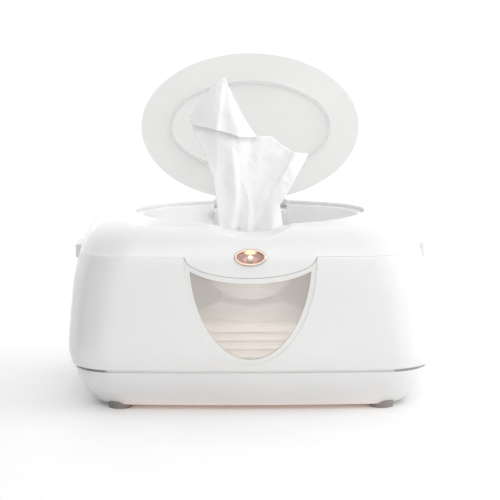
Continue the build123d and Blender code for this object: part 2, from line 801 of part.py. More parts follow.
# ================================================================ lid shell
rebate_length = door_half_length + door_gap
rebate_depth = door_half_depth + door_gap
rebate_drop = door_thickness + door_seat_gap
recess_length = rebate_length - rebate_ledge
recess_depth = rebate_depth - rebate_ledge
floor_round = 8.0
skin = 0.5                    # inner fittings stop this far below the lid's surface
neck_front = 46.0             # front end of the door's hinge neck
neck_half_slot = door_neck_half_width + pocket_gap
pocket_floor = door_axis_z - pocket_depth
ear_half = neck_half_slot + ear_length
scoop_axis = scoop_bottom + scoop_radius
boss_front = 39.0             # block under the door's neck, in the recess's rear slope
boss_back = 62.0
boss_bottom = liner_bottom + liner_thickness + skin
lamp_lean = math.radians(lamp_tilt)
lamp_plane = Plane(origin=(0, lamp_y, lamp_z), x_dir=(1, 0, 0),
                   z_dir=(0, -math.cos(lamp_lean), math.sin(lamp_lean)))
barrel_margin = 1.5
barrel_depth = reflector_depth + 1.7
barrel_lip = 0.9              # the bezel overlaps the lamp hole by this much
scoop_front = 5.0 - body_depth / 2
pocket_front = 7.5            # the hinge pocket, before and behind the door's axis
pocket_back = 6.0
boss_reach = 7.0              # how far the liner's screw bosses are bored above the seam


def recess(grow, bottom, top):
    """Tapered oval bowl between two heights, with a rounded floor edge."""
    with BuildPart() as bowl:
        for height in (bottom, top):
            narrow = recess_taper * (lid_top - height) / (lid_top - recess_floor)
            with BuildSketch(Plane.XY.offset(height)):
                Ellipse(recess_length - narrow + grow, recess_depth - narrow + grow)
        loft()
        fillet(bowl.edges().group_by(Axis.Z)[0], floor_round + grow)
    return bowl.part


def lamp_disc(half_width, half_height, deep, shallow):
    """Oval block on the lamp's axis, between two depths below its face."""
    with BuildPart() as disc:
        with BuildSketch(lamp_plane.offset(-deep)):
            Ellipse(half_width, half_height)
        extrude(amount=deep - shallow)
    return disc.part


with BuildPart() as lid_hollow:
    add(housing_inside)
    add(crown(wall), mode=Mode.INTERSECT)

with BuildPart() as lid_extent:
    add(slab(lid_bottom, lid_top + 2))
    add(front_prism(tongue_half_width, tongue_depth, lid_bottom + 1))

with BuildPart() as rebate_ring:
    add(oval_prism(rebate_length + bowl_wall, rebate_depth + bowl_wall, lid_top - 2 * rebate_drop, lid_top))
    add(crown(rebate_drop + bowl_wall), mode=Mode.SUBTRACT)

with BuildPart() as lid_fittings:
    add(recess(bowl_wall, recess_floor - bowl_wall, lid_top + 1))
    add(rebate_ring.part)
    add(box((-ear_half - bowl_wall, ear_half + bowl_wall), (neck_front + ear_length,
            door_axis_y + pocket_back + bowl_wall), (pocket_floor - bowl_wall, lid_top)))
    add(rod((0, scoop_front, scoop_axis), (0, -recess_depth + bowl_wall, scoop_axis),
            scoop_radius + bowl_wall))
    for x, y in four(lid_boss_x, lid_boss_y):
        add(post(x, y, liner_bottom + liner_thickness, lid_top, lid_boss_radius))
    for side in (-1, 1):
        add(box(sorted((side * (latch_inner - 1.0), side * body_width / 2)),
                (-catch_half_width, catch_half_width), (lid_bottom, lid_bottom + 1)))
    add(crown(skin), mode=Mode.INTERSECT)
    add(wall_middle, mode=Mode.INTERSECT)

with BuildPart() as lamp_barrel:
    add(lamp_disc(lamp_half_width + barrel_margin, lamp_half_height + barrel_margin, barrel_depth, -2))
    add(wall_middle, mode=Mode.INTERSECT)

with BuildPart() as door_rebate:
    add(oval_prism(rebate_length, rebate_depth, lid_top - 2 * rebate_drop, lid_top + 1))
    add(crown(rebate_drop), mode=Mode.SUBTRACT)

with BuildPart() as hinge_boss:
    with BuildSketch(Plane.XY.offset(boss_bottom)):
        with Locations((0, (boss_front + boss_back) / 2)):
            Rectangle(2 * door_neck_half_width + 1, boss_back - boss_front)
    extrude(amount=door_axis_z - 1 - boss_bottom)

with BuildPart() as lid_shell:
    add(housing)
    add(crown(0.0), mode=Mode.INTERSECT)
    add(lid_hollow.part, mode=Mode.SUBTRACT)
    add(lid_extent.part, mode=Mode.INTERSECT)
    add(lid_fittings.part)
    add(lamp_barrel.part)
    add(recess(0.0, recess_floor, lid_top + 2), mode=Mode.SUBTRACT)
    add(hinge_boss.part)
    add(door_rebate.part, mode=Mode.SUBTRACT)
    # Hinge pocket, neck slot, and the hole for the door's pin.
    add(box((-neck_half_slot, neck_half_slot), (door_axis_y - pocket_front, door_axis_y + pocket_back),
            (pocket_floor, lid_top + past)), mode=Mode.SUBTRACT)
    add(box((-neck_half_slot, neck_half_slot), (neck_front - past, door_axis_y + pocket_back),
            (door_axis_z - pocket_step, lid_top + past)), mode=Mode.SUBTRACT)
    add(rod((-ear_half, door_axis_y, door_axis_z), (ear_half, door_axis_y, door_axis_z), door_pin_radius),
        mode=Mode.SUBTRACT)
    # Thumb scoop, throat, lamp hole.
    add(rod((0, scoop_front, scoop_axis), (0, -recess_depth + rebate_ledge + bowl_wall, scoop_axis),
            scoop_radius), mode=Mode.SUBTRACT)
    add(oval_prism(throat_half_length + throat_wall + fit_gap / 2,
                   throat_half_depth + throat_wall + fit_gap / 2,
                   recess_floor - 2 * bowl_wall, recess_floor + past), mode=Mode.SUBTRACT)
    add(lamp_disc(lamp_half_width - barrel_lip, lamp_half_height - barrel_lip, barrel_depth + past,
                  -bezel_depth), mode=Mode.SUBTRACT)
    for x, y in four(lid_boss_x, lid_boss_y):
        add(rod((x, y, liner_bottom), (x, y, seam_height + boss_reach), screw_radius), mode=Mode.SUBTRACT)
    # Rear hinge.
    for side in (-1, 1):
        centre = side * hinge_x
        for end in (-1, 1):
            start = centre + end * knuckle_half
            add(knuckle(start, start + end * (knuckle_length + 2 * knuckle_gap), hinge_radius + hinge_gap),
                mode=Mode.SUBTRACT)
        add(knuckle(centre - knuckle_half, centre + knuckle_half))
        with BuildSketch(Plane.YZ.offset(centre - knuckle_half)):
            with BuildLine():
                Polyline((hinge_y, seam_height + hinge_radius), (hinge_y, lid_bottom),
                         (hinge_y - hinge_radius - past, lid_bottom),
                         (hinge_y - 2 * hinge_radius + bond, seam_height + hinge_radius + past), close=True)
            make_face()
        extrude(amount=knuckle_length)
        add(knuckle(centre - hinge_half, centre + hinge_half, hinge_pin_radius + pin_clearance),
            mode=Mode.SUBTRACT)
save(lid_shell.part, "lid_shell")

# ================================================================ under the lid
liner_top = liner_bottom + liner_thickness
bowl_hole = recess_taper * (lid_top - liner_top) / (lid_top - recess_floor) - bowl_wall - 2 * fit_gap
touch = 0.1                   # least gap between pieces that meet when the lid shuts
gasket_bottom = tub_rim + touch
gasket_inset = 0.6
lamp_notch = 16.0             # half width of the liner's notch behind the lamp
contact_pin_tip = ledge_top + contact_pad_thickness + touch

with BuildPart() as lid_liner:
    add(outline(liner_inset, liner_bottom, high_corner_radius - wall))
    extrude(amount=liner_thickness)
    add(oval_prism(recess_length - bowl_hole, recess_depth - bowl_hole, liner_bottom, liner_top),
        mode=Mode.SUBTRACT)
    for side in (-1, 1):
        add(box(sorted((side * (body_width / 2 - liner_inset - catch_depth), side * body_width)),
                (-catch_half_width, catch_half_width), (liner_bottom, liner_top)), mode=Mode.SUBTRACT)
    add(box((-lamp_notch, lamp_notch),
            (-body_depth, -tub_half_depth - tub_draft - tub_flange_width + fit_gap),
            (liner_bottom, liner_top)), mode=Mode.SUBTRACT)
    for x, y in four(lid_boss_x, lid_boss_y):
        add(rod((x, y, liner_bottom), (x, y, liner_top), screw_radius + fit_gap), mode=Mode.SUBTRACT)
    for step in (0, 1):
        x = contact_x + step * contact_pitch
        add(rod((x, contact_y, liner_bottom), (x, contact_y, liner_top), contact_pin_radius + pin_clearance),
            mode=Mode.SUBTRACT)
save(lid_liner.part, "lid_liner")

with BuildPart() as lid_gasket:
    add(tub_ring(gasket_inset, tub_flange_width - gasket_inset, gasket_bottom, liner_bottom))
save(lid_gasket.part, "lid_gasket")

with BuildPart() as lid_screws:
    for x, y in four(lid_boss_x, lid_boss_y):
        add(screw(x, y, liner_bottom - screw_head_height, seam_height + boss_reach - past))
save(lid_screws.part, "lid_screws")

with BuildPart() as contact_pins:
    for step in (0, 1):
        x = contact_x + step * contact_pitch
        add(post(x, contact_y, contact_pin_tip, liner_top + 3 * wire_radius, contact_pin_radius))
save(contact_pins.part, "contact_pins")

# The lower lip of the throat guide is an arc: low in the middle, high at both ends.
lip_half = throat_half_length + throat_wall
lip_radius = (lip_half ** 2 + throat_side_rise ** 2) / (2 * throat_side_rise)
with BuildPart() as throat_guide:
    add(oval_prism(lip_half, throat_half_depth + throat_wall, throat_bottom, recess_floor))
    add(rod((0, -body_depth, throat_bottom + lip_radius), (0, body_depth, throat_bottom + lip_radius),
            lip_radius), mode=Mode.INTERSECT)
    add(oval_prism(lip_half + throat_collar, throat_half_depth + throat_wall + throat_collar,
                   recess_floor, recess_floor + throat_collar_thickness))
    add(oval_prism(throat_half_length, throat_half_depth, throat_bottom - past, lid_top), mode=Mode.SUBTRACT)
    chamfer(throat_guide.edges().group_by(Axis.Z)[-1], throat_bevel)
save(throat_guide.part, "throat_guide")

# ================================================================ night light
skirt_trim = 1.05
opening_trim = bezel_width
reflector_front = 1.2
led_hole = led_radius + fit_gap / 2
board_half_width = 13.0
board_half_height = 5.0
lamp_board_thickness = 1.0
lamp_board_front = barrel_depth + touch

with BuildPart() as lamp_bezel:
    add(lamp_disc(lamp_half_width, lamp_half_height, 0, -bezel_proud))
    chamfer(lamp_bezel.faces().sort_by(Axis(lamp_plane.origin, lamp_plane.z_dir))[-1].edges(), bezel_edge)
    add(lamp_disc(lamp_half_width - skirt_trim, lamp_half_height - skirt_trim, bezel_depth, 0))
    add(lamp_disc(lamp_half_width - opening_trim, lamp_half_height - opening_trim, bezel_depth + 1, -2),
        mode=Mode.SUBTRACT)
save(lamp_bezel.part, "lamp_bezel")

reflector_width = lamp_half_width - opening_trim - touch
reflector_height = lamp_half_height - opening_trim - touch
led_seat = reflector_depth * 0.55          # centre of the dome, below the lamp's face
bowl_sections = [(0.0, 1.0), (0.35, 0.93), (0.7, 0.80), (1.0, 0.60)]      # depth share, size share


def lamp_bowl(trim, back):
    """Solid that fills the reflector's bowl down to a depth."""
    with BuildPart() as bowl:
        for share, size in bowl_sections:
            with BuildSketch(lamp_plane.offset(-reflector_front - share * back)):
                Ellipse(reflector_width * size - trim, max(reflector_height * size - trim, led_hole + bond))
        loft()
    return bowl.part


with BuildPart() as lamp_reflector:
    add(lamp_bowl(0.0, reflector_depth))
    add(lamp_bowl(reflector_wall, reflector_depth - reflector_wall), mode=Mode.SUBTRACT)
    add(lamp_disc(led_hole, led_hole, barrel_depth, 0), mode=Mode.SUBTRACT)
save(lamp_reflector.part, "lamp_reflector")

with BuildPart() as lamp_led:
    add(lamp_disc(led_radius, led_radius, lamp_board_front, led_seat))
    with Locations(lamp_plane.offset(-led_seat)):
        Sphere(led_radius)
save(lamp_led.part, "lamp_led")

# Depth below the bezel's back plane, and size share, from the lens's seat to its crown.
lens_sections = [(reflector_front, 1.0), (0.7, 1.0), (0.2, 0.9), (-lens_rise / 2, 0.68), (-lens_rise, 0.4)]
with BuildPart() as lamp_lens:
    for depth, size in lens_sections:
        with BuildSketch(lamp_plane.offset(-depth)):
            Ellipse(reflector_width * size, reflector_height * size)
    loft(ruled=True)
save(lamp_lens.part, "lamp_lens")

with BuildPart() as lamp_board:
    with BuildSketch(lamp_plane.offset(-lamp_board_front - lamp_board_thickness)):
        Rectangle(2 * board_half_width, 2 * board_half_height)
    extrude(amount=lamp_board_thickness)
save(lamp_board.part, "lamp_board")

lead_z = liner_top + wire_radius + touch
lead_margin = 1.4             # from the lamp board's upper edge
lead_start = lamp_plane.from_local_coords(
    (0, board_half_height - lead_margin, -lamp_board_front - lamp_board_thickness / 2))
lead_route = [
    (-board_half_width, lead_start.Y, lead_z), (-40, -75.5, lead_z), (-92, -66, lead_z), (-104, -40, lead_z),
    (-104, 40, lead_z), (-92, 64, lead_z), (-50, 75, lead_z),
    (contact_x - contact_pin_radius, contact_y, lead_z),
]
with BuildPart() as lid_lead:
    add(wire(lead_route))
save(lid_lead.part, "lid_lead")


# ================================================================ flip door
def opened(piece):
    """The piece turned with the door to its open position, as in use."""
    return piece.rotate(Axis((0, door_axis_y, door_axis_z), (1, 0, 0)), -door_open_angle)


ring_length = door_half_length - ring_edge_distance
ring_depth = door_half_depth - ring_edge_distance
tab_axis_y = tab_reach - door_half_depth - tab_radius
neck_drop = 1.1               # the neck's upper face, below the lid's crown
neck_profile = [
    (neck_front, lid_top - neck_drop), (door_axis_y - 4.5, lid_top - neck_drop - 0.4),
    (door_axis_y + 1.0, door_axis_z + 3.0), (door_axis_y, door_axis_z),
    (door_axis_y - door_barrel_radius, door_axis_z), (door_axis_y - 7.5, lid_top - neck_drop - 2.5),
    (neck_front, lid_top - neck_drop - door_thickness),
]


def crown_layer(half_length, half_depth, upper, lower):
    """Oval layer between two depths below the lid's crown."""
    with BuildPart() as layer:
        add(oval_prism(half_length, half_depth, lid_top - lower - 2 * crown_drop, lid_top + past))
        add(crown(upper), mode=Mode.INTERSECT)
        add(crown(lower), mode=Mode.SUBTRACT)
    return layer.part


with BuildPart() as tab_cut:
    add(rod((0, tab_axis_y, lid_top - 2 * crown_drop - door_thickness), (0, tab_axis_y, lid_top), tab_radius))
    add(crown(door_thickness - tab_step), mode=Mode.INTERSECT)

barrel_left = (-door_neck_half_width, door_axis_y, door_axis_z)
barrel_right = (door_neck_half_width, door_axis_y, door_axis_z)

with BuildPart() as door_closed:
    add(crown_layer(door_half_length, door_half_depth, 0.0, door_thickness))
    add(tab_cut.part, mode=Mode.SUBTRACT)
    with BuildSketch(Plane.YZ.offset(-door_neck_half_width)):
        with BuildLine():
            Polyline(*neck_profile, close=True)
        make_face()
    extrude(amount=2 * door_neck_half_width)
    add(rod(barrel_left, barrel_right, door_barrel_radius))
    add(crown_layer(ring_length, ring_depth, door_thickness - ring_groove, door_thickness + past),
        mode=Mode.SUBTRACT)
    add(crown_layer(ring_length - ring_width, ring_depth - ring_width, door_thickness - ring_groove,
                    door_thickness))
    add(rod(barrel_left, barrel_right, door_pin_radius + pin_clearance), mode=Mode.SUBTRACT)
flip_door = opened(door_closed.part)
save(flip_door, "flip_door")

with BuildPart() as seal_closed:
    add(crown_layer(ring_length, ring_depth, door_thickness - ring_groove, door_thickness + ring_height))
    add(crown_layer(ring_length - ring_width, ring_depth - ring_width, 0.0, door_thickness + ring_height + 1),
        mode=Mode.SUBTRACT)
door_seal = opened(seal_closed.part)
save(door_seal, "door_seal")

with BuildPart() as door_pin:
    add(rod((-ear_half, door_axis_y, door_axis_z), (ear_half, door_axis_y, door_axis_z), door_pin_radius))
save(door_pin.part, "door_pin")

# ================================================================ latch buttons
finger_half = 6.0
finger_inner = latch_inner - 3.7
finger_top = lid_bottom + 2.3
finger_base = latch_top + bond
web_thickness = 1.1
riser_bottom = 106.0
with BuildPart() as latch_right:
    add(box((latch_inner, body_width / 2 - latch_face_inset), (-latch_half_length, latch_half_length),
            (latch_bottom, latch_top)))
    fillet(latch_right.faces().sort_by(Axis.X)[-1].edges(), latch_edge)
    add(box((latch_inner, latch_plate), (-latch_half_plate, latch_half_plate), (latch_bottom, riser_bottom)))
    for end in (-1, 1):
        add(box((latch_inner + fit_gap, latch_inner + fit_gap + latch_arm_thickness),
                sorted((end * latch_half_plate, end * (latch_half_plate + latch_arm))),
                (latch_bottom + past, riser_bottom - past)))
    add(box((latch_inner - web_thickness, latch_inner), (-finger_half, finger_half),
            (riser_bottom, latch_top + latch_finger_thickness)))
    add(box((finger_inner, latch_inner), (-finger_half, finger_half),
            (finger_base, latch_top + latch_finger_thickness)))
    add(box((finger_inner, finger_inner + latch_finger_thickness), (-finger_half, finger_half),
            (finger_base, finger_top)))
    add(box((finger_inner, finger_inner + latch_finger_thickness + latch_bead), (-finger_half, finger_half),
            (finger_top - latch_bead, finger_top)))
save(latch_right.part, "latch_button_right")
latch_left = latch_right.part.mirror(Plane.YZ)
save(latch_left, "latch_button_left")

# ================================================================ wipes
layer_height = (stack_top - pad_bottom - pad_thickness) / stack_layers
fold_overlap = 0.15
layer_shift = 0.7             # the folds lie a little to either side
tail_sections = [(-0.6, 37.0, 27.0), (2.5, 33.0, 17.0), (6.0, 27.0, 9.5), (tail_top - stack_top, 21.0, 4.6)]
with BuildPart() as wipe_stack:
    for layer in range(stack_layers):
        middle = pad_bottom + pad_thickness + fit_gap + (layer + 0.5) * layer_height
        shift = layer_shift * (-1) ** layer
        with BuildSketch(Plane.YZ.offset(-stack_width / 2 - shift)):
            with Locations((shift, middle)):
                SlotOverall(stack_depth - abs(shift), layer_height + fold_overlap)
        extrude(amount=stack_width)
    for rise, half_length, half_depth in tail_sections:
        with BuildSketch(Plane.XY.offset(stack_top + rise)):
            Ellipse(half_length, half_depth)
    loft()
save(wipe_stack.part, "wipe_stack")

# Front view of the pulled wipe above the throat: crumpled tip, folded corner, gathered waist.
# Points are x and the height above the lid.
wipe_outline = [
    (-24.0, -73.0), (-23.2, -12.0), (-26.1, 23.2), (-42.8, 60.0), (-44.3, 69.7), (-19.2, 99.8),
    (-13.5, 88.0), (-7.6, 75.0), (4.0, 55.7), (15.8, 55.7), (29.0, 45.3), (43.0, 42.4), (38.6, 34.2),
    (29.1, 15.8), (21.8, 4.6), (24.7, -12.0), (24.0, -73.0),
]
# Height, half width, fold height, thickness and lean of the gathered wipe.
wipe_sections = [
    (tail_top + wipe_gap, 20.0, 1.6, 5.0, 0.0),
    (recess_floor - 8, 22.0, 2.6, 4.6, 0.0),
    (recess_floor + 12, 27.0, 4.2, 4.2, -1.0),
    (lid_top + 22, 40.0, 6.5, 3.6, -4.0),
    (lid_top + 60, 52.0, 6.0, 3.2, -6.0),
    (lid_top + 102, 50.0, 4.0, 2.6, -9.0),
]
fold_steps = 4 * wipe_lobes
fold_phase = 0.4


def folded(height, half_width, fold, thickness, lean):
    """One level of the wipe: a wavy band across the throat."""
    front = []
    back = []
    for step in range(fold_steps + 1):
        share = step / fold_steps
        x = half_width * (2 * share - 1)
        y = lean + fold * math.sin(2 * math.pi * wipe_lobes / 2 * share + fold_phase)
        front.append((x, y - thickness / 2))
        back.append((x, y + thickness / 2))
    with BuildSketch(Plane.XY.offset(height)) as band:
        with BuildLine():
            Spline(*front)
            Line(front[-1], back[-1])
            Spline(*reversed(back))
            Line(back[0], front[0])
        make_face()
    return band.sketch


with BuildPart() as pulled_wipe:
    for section in wipe_sections:
        add(folded(*section))
    loft()
    with BuildSketch(Plane.XZ.offset(-body_depth / 2)):
        with BuildLine():
            Polyline(*[(x, lid_top + rise) for x, rise in wipe_outline], close=True)
        make_face()
    extrude(amount=body_depth, mode=Mode.INTERSECT)
save(pulled_wipe.part, "pulled_wipe")
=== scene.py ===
import math

import bmesh
import bpy
import numpy as np
from mathutils import Matrix, Vector, noise
from mathutils.bvhtree import BVHTree


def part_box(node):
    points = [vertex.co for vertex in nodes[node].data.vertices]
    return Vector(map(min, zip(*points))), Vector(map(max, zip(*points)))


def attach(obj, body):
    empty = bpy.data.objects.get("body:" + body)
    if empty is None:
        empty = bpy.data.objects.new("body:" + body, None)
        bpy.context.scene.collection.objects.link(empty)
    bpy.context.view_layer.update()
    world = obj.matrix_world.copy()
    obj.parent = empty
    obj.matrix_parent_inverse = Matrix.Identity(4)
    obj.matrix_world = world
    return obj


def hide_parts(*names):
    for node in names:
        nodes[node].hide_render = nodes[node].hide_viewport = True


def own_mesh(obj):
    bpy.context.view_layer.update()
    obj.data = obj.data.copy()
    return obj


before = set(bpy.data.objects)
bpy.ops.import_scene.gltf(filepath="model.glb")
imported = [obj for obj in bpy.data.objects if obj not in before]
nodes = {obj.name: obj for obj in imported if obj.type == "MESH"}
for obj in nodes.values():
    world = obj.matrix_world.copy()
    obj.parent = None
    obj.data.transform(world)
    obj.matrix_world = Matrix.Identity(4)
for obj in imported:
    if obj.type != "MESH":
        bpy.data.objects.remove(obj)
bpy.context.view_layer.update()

MM = 0.001
TINY = 1e-9


# ---------------------------------------------------------------- material tools
# A surface's cloudy colour, in features per metre, then its fine grain, and the ends of a colour's run.
cloud_scale = 18.0
cloud_detail = 2.0
grain_detail = 4.0
relief_strength = 0.35
ramp_start = 0.3
ramp_end = 0.7


def tree(name):
    """New material with a Principled shader: returns the material, its nodes, links and shader."""
    mat = bpy.data.materials.new(name)
    mat.use_nodes = True
    shader = mat.node_tree.nodes["Principled BSDF"]
    return mat, mat.node_tree.nodes, mat.node_tree.links, shader


def noise_node(mat_nodes, links, scale, detail, stretch=(1, 1, 1)):
    """Noise in the object's own space, its scale in features per metre."""
    place = mat_nodes.new("ShaderNodeTexCoord")
    mapping = mat_nodes.new("ShaderNodeMapping")
    mapping.inputs["Scale"].default_value = stretch
    texture = mat_nodes.new("ShaderNodeTexNoise")
    texture.inputs["Scale"].default_value = scale
    texture.inputs["Detail"].default_value = detail
    links.new(place.outputs["Object"], mapping.inputs["Vector"])
    links.new(mapping.outputs["Vector"], texture.inputs["Vector"])
    return texture.outputs["Fac"]


def tint(mat_nodes, links, factor, low, high, target):
    """Colour that runs from low to high with a factor."""
    ramp = mat_nodes.new("ShaderNodeValToRGB")
    first, last = ramp.color_ramp.elements
    first.position = ramp_start
    last.position = ramp_end
    first.color = (*low, 1)
    last.color = (*high, 1)
    links.new(factor, ramp.inputs["Fac"])
    links.new(ramp.outputs["Color"], target)


def spread(mat_nodes, links, factor, low, high, target):
    """Value that runs from low to high with a factor."""
    mapped = mat_nodes.new("ShaderNodeMapRange")
    mapped.inputs["To Min"].default_value = low
    mapped.inputs["To Max"].default_value = high
    links.new(factor, mapped.inputs["Value"])
    links.new(mapped.outputs["Result"], target)


def relief(mat_nodes, links, factor, strength, distance, shader):
    """Fine relief from a factor, its depth in metres."""
    bump = mat_nodes.new("ShaderNodeBump")
    bump.inputs["Strength"].default_value = strength
    bump.inputs["Distance"].default_value = distance
    links.new(factor, bump.inputs["Height"])
    links.new(bump.outputs["Normal"], shader.inputs["Normal"])


def set_sockets(shader, sockets):
    """Sets a shader's sockets, an underscore standing for a space in their names."""
    for socket, value in sockets.items():
        shader.inputs[socket.replace("_", " ")].default_value = value


def surface(name, low, high, rough, grain, depth, stretch=(1, 1, 1), **sockets):
    """Material with small changes of colour and gloss and a fine relief.

    low and high are its darkest and lightest colour, rough its range of roughness,
    grain the size of its relief in metres and depth the relief's height in metres.
    """
    mat, mat_nodes, links, shader = tree(name)
    cloudy = noise_node(mat_nodes, links, cloud_scale, cloud_detail)
    fine = noise_node(mat_nodes, links, 1 / grain, grain_detail, stretch)
    tint(mat_nodes, links, cloudy, low, high, shader.inputs["Base Color"])
    spread(mat_nodes, links, fine, *rough, shader.inputs["Roughness"])
    relief(mat_nodes, links, fine, relief_strength, depth, shader)
    set_sockets(shader, sockets)
    return mat


def nonwoven(name, low, high):
    """Moist nonwoven: pale, a little see-through, with short crossing fibres."""
    mat, mat_nodes, links, shader = tree(name)
    cloudy = noise_node(mat_nodes, links, scale=55.0, detail=4.0)
    fibres = noise_node(mat_nodes, links, scale=900.0, detail=3.0, stretch=(1.0, 1.0, 0.25))
    tint(mat_nodes, links, cloudy, low, high, shader.inputs["Base Color"])
    spread(mat_nodes, links, fibres, low=0.7, high=0.95, target=shader.inputs["Roughness"])
    relief(mat_nodes, links, fibres, strength=0.5, distance=0.00012, shader=shader)
    set_sockets(shader, {"Subsurface_Weight": 0.6, "Subsurface_Scale": 0.0006,
                         "Subsurface_Radius": (1.0, 0.95, 0.92), "Sheen_Weight": 0.2})
    return mat


def veiled_behind(mat, y_range, alpha_range):
    """Makes a material clear in front and milky behind: its alpha runs over a range of the object's Y."""
    mat_nodes = mat.node_tree.nodes
    links = mat.node_tree.links
    place = mat_nodes.new("ShaderNodeTexCoord")
    axes = mat_nodes.new("ShaderNodeSeparateXYZ")
    veil = mat_nodes.new("ShaderNodeMapRange")
    for socket, value in zip(("From Min", "From Max", "To Min", "To Max"), (*y_range, *alpha_range)):
        veil.inputs[socket].default_value = value
    links.new(place.outputs["Object"], axes.inputs["Vector"])
    links.new(axes.outputs["Y"], veil.inputs["Value"])
    links.new(veil.outputs["Result"], mat_nodes["Principled BSDF"].inputs["Alpha"])


def lit_patch(mat, piece, place, reach, colour, strength):
    """Glow that a lamp throws on a piece round one place, fading out over a reach in metres."""
    mat_nodes = mat.node_tree.nodes
    links = mat.node_tree.links
    shader = mat_nodes["Principled BSDF"]
    where = mat_nodes.new("ShaderNodeTexCoord")
    away = mat_nodes.new("ShaderNodeVectorMath")
    away.operation = "DISTANCE"
    away.inputs[1].default_value = piece.matrix_world.inverted() @ Vector(place)
    full_share = 0.25
    fade = mat_nodes.new("ShaderNodeMapRange")
    fade.interpolation_type = "SMOOTHSTEP"
    fade.inputs["From Min"].default_value = reach
    fade.inputs["From Max"].default_value = reach * full_share
    fade.inputs["To Max"].default_value = strength
    links.new(where.outputs["Object"], away.inputs[0])
    links.new(away.outputs["Value"], fade.inputs["Value"])
    links.new(fade.outputs["Result"], shader.inputs["Emission Strength"])
    shader.inputs["Emission Color"].default_value = (*colour, 1)


def grey(value, warm=0.0):
    """Grey with a touch more red than blue."""
    return (value + warm, value, value - warm)


# ---------------------------------------------------------------- white mouldings
inner_scatter = {"Subsurface_Weight": 0.8, "Subsurface_Scale": 0.003, "Subsurface_Radius": (1.0, 0.92, 0.88)}
white_gloss = surface("white_gloss_plastic", grey(0.785, 0.001), grey(0.805, 0.001),
                      rough=(0.20, 0.30), grain=0.0012, depth=0.00002,
                      Coat_Weight=0.25, Coat_Roughness=0.12, Specular_IOR_Level=0.45, **inner_scatter)
base_gloss = surface("white_base_plastic", grey(0.76, 0.001), grey(0.78, 0.001),
                     rough=(0.24, 0.34), grain=0.0012, depth=0.00002,
                     Coat_Weight=0.2, Coat_Roughness=0.15, **inner_scatter)
button_plastic = surface("white_button_plastic", grey(0.78, 0.01), grey(0.81, 0.01),
                         rough=(0.28, 0.36), grain=0.001, depth=0.00002)
liner_plastic = surface("satin_liner_plastic", grey(0.74, 0.01), grey(0.78, 0.01),
                        rough=(0.38, 0.5), grain=0.001, depth=0.00003)
# Painted light: a faint white glow on the faces in narrow seams lifts their shade.
seam_painted_glow = surface("seam_painted_glow_plastic", grey(0.76, 0.004), grey(0.78, 0.004),
                       rough=(0.3, 0.4), grain=0.0012, depth=0.00002,
                       Emission_Color=(1.0, 0.97, 0.95, 1), Emission_Strength=0.20)

# ---------------------------------------------------------------- see-through pieces
window_plastic = surface("frosted_window_plastic", (0.80, 0.74, 0.69), (0.85, 0.80, 0.76),
                         rough=(0.30, 0.42), grain=0.0006, depth=0.00003,
                         Alpha=0.36, Coat_Weight=0.2, Coat_Roughness=0.1)
rim_plastic = surface("frosted_rim_plastic", (0.86, 0.865, 0.85), (0.89, 0.895, 0.88),
                      rough=(0.30, 0.42), grain=0.0006, depth=0.00003,
                      Alpha=0.80, Coat_Weight=0.3, Coat_Roughness=0.1)
door_plastic = surface("frosted_door_plastic", (0.80, 0.80, 0.79), (0.83, 0.83, 0.82),
                       rough=(0.30, 0.40), grain=0.0007, depth=0.00003,
                       Alpha=0.62, Coat_Weight=0.2, Coat_Roughness=0.15)
# The tub is clear in front, where the wipes show through it, and milky elsewhere.
tub_clear_alpha = 0.16
tub_milky_alpha = 0.62
tub_front_y = (-0.054, -0.048)
tub_plastic = surface("milky_tub_plastic", (0.80, 0.72, 0.65), (0.84, 0.77, 0.70),
                      rough=(0.35, 0.5), grain=0.001, depth=0.00003, Alpha=tub_clear_alpha)
veiled_behind(tub_plastic, tub_front_y, (tub_clear_alpha, tub_milky_alpha))

# ---------------------------------------------------------------- rubber and seals
seal_scatter = {"Subsurface_Weight": 0.4, "Subsurface_Scale": 0.004}
door_seal = surface("soft_door_seal", grey(0.84), grey(0.88),
                    rough=(0.45, 0.6), grain=0.0008, depth=0.00003, Alpha=0.35, **seal_scatter)
seal_rubber = surface("soft_seal", grey(0.80), grey(0.84),
                      rough=(0.45, 0.6), grain=0.0008, depth=0.00003, Alpha=0.7, **seal_scatter)
foot_rubber = surface("grey_rubber", (0.22, 0.20, 0.19), (0.28, 0.26, 0.25),
                      rough=(0.6, 0.8), grain=0.0006, depth=0.00008)

# ---------------------------------------------------------------- metals, heater and electrics
steel = surface("plated_steel", grey(0.55), grey(0.62),
                rough=(0.25, 0.4), grain=0.0006, depth=0.00002, stretch=(1, 1, 6), Metallic=1.0)
aluminium = surface("aluminium_sheet", grey(0.62), grey(0.70),
                    rough=(0.3, 0.45), grain=0.0005, depth=0.00002, stretch=(8, 1, 1), Metallic=1.0)
brass = surface("plated_brass", (0.75, 0.55, 0.25), (0.82, 0.62, 0.30),
                rough=(0.2, 0.3), grain=0.0005, depth=0.00001, Metallic=1.0)
amber_film = surface("amber_film", (0.45, 0.20, 0.04), (0.55, 0.27, 0.06),
                     rough=(0.25, 0.35), grain=0.002, depth=0.00002)
fibre_mat = surface("fibre_mat", grey(0.60, 0.01), grey(0.72, 0.01),
                    rough=(0.85, 0.95), grain=0.0012, depth=0.0004)
board_green = surface("solder_mask", (0.01, 0.11, 0.04), (0.02, 0.16, 0.06),
                      rough=(0.25, 0.4), grain=0.002, depth=0.00003)
black_plastic = surface("black_plastic", grey(0.02), grey(0.035),
                        rough=(0.4, 0.55), grain=0.0008, depth=0.00003)
red_wire = surface("wire_insulation", (0.40, 0.02, 0.02), (0.50, 0.04, 0.03),
                   rough=(0.35, 0.5), grain=0.001, depth=0.00002)

